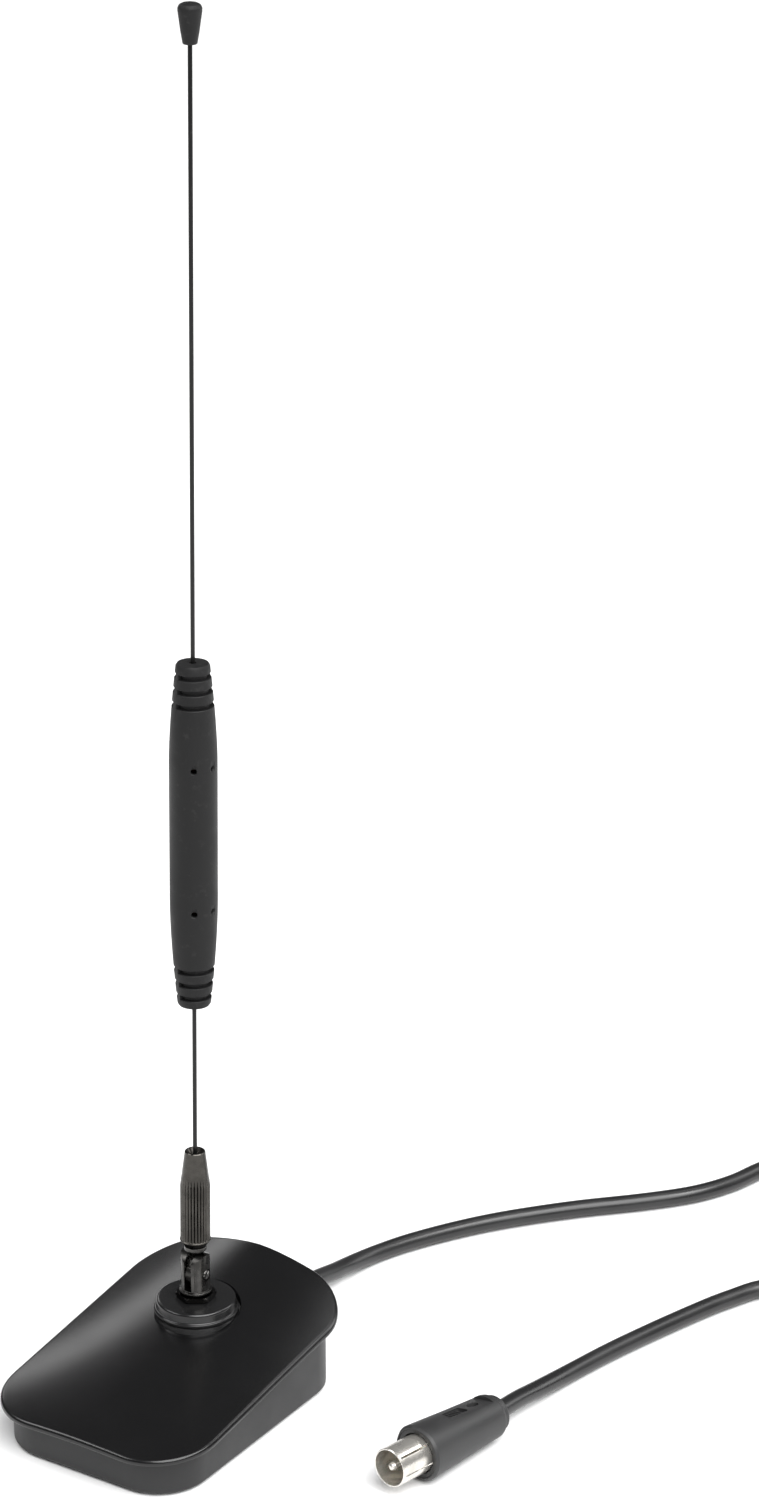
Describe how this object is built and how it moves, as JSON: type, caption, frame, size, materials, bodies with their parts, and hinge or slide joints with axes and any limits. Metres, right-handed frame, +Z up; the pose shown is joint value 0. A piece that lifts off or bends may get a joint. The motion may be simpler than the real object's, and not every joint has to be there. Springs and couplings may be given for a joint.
{
  "type": "indoor rod aerial",
  "caption": "Tabletop indoor aerial: loaded rod whip on a turning, tilting pivot over a wedge-shaped magnetic base, with a coiled coaxial lead and plug.",
  "frame": {"origin": "on the floor, under the middle of the base lid's outline", "axes": "+Z up along the upright rod, +Y towards the base's tall rear end where the lead leaves, +X to the side"},
  "size_m": [0.1805, 0.2536, 0.3407],
  "materials": {
    "base_plastic": "satin charcoal ABS, light spark texture",
    "gloss_trim": "polished black plastic",
    "moulded_black": "matt black soft moulding",
    "pad_rubber": "black non-slip rubber",
    "black_nickel": "black nickel plate on turned brass",
    "bright_nickel": "bright nickel plate",
    "zinc_steel": "zinc-plated steel",
    "rod_black": "black lacquered spring-steel rod",
    "ferrite": "dark sintered ferrite",
    "laminate": "green circuit laminate",
    "copper": "bare copper wire",
    "cable_jacket": "dark grey PVC jacket, soft sheen",
    "insulator": "off-white insulating plastic"
  },
  "bodies": {
    "base": {"base_housing": "base_plastic", "top_cover": "base_plastic", "foot_pad": "pad_rubber", "foot_magnet": "ferrite", "magnet_yoke": "zinc_steel", "cover_screw_1": "zinc_steel", "cover_screw_2": "zinc_steel", "cover_screw_3": "zinc_steel", "cover_screw_4": "zinc_steel", "clamp_screw_1": "zinc_steel", "clamp_screw_2": "zinc_steel", "cable_clamp": "base_plastic", "circuit_board": "laminate", "balun_core": "ferrite", "cable_core_wire": "copper", "whip_lead": "copper", "strain_relief": "pad_rubber", "lead_inside_base": "cable_jacket", "collar": "gloss_trim", "swivel_bushing": "black_nickel", "solder_tag": "bright_nickel", "lock_washer": "zinc_steel", "lock_nut": "zinc_steel", "plug_grip": "moulded_black", "plug_sleeve": "bright_nickel", "plug_insulator": "insulator", "plug_pin": "bright_nickel", "cable_from_base": "cable_jacket", "cable_to_plug": "cable_jacket", "cable_coil": "cable_jacket", "coil_tie": "pad_rubber"},
    "post": {"pivot_post": "black_nickel", "pivot_screw": "black_nickel", "pivot_nut": "black_nickel"},
    "whip": {"whip_tongue": "black_nickel", "ferrule": "black_nickel", "lower_rod": "rod_black", "upper_rod": "rod_black", "end_cap": "moulded_black", "coil_housing": "moulded_black", "coil_former": "insulator", "loading_coil": "copper"}
  },
  "joints": [
    {"name": "post_turn", "type": "hinge", "parent": "base", "child": "post", "pos_m": [0, 0.0115, 0.0328], "axis": [0, 0, 1], "continuous": true},
    {"name": "whip_tilt", "type": "hinge", "parent": "post", "child": "whip", "pos_m": [0, 0.0115, 0.0328], "axis": [1, 0, 0], "range_deg": [-83.75, 86.25]}
  ]
}
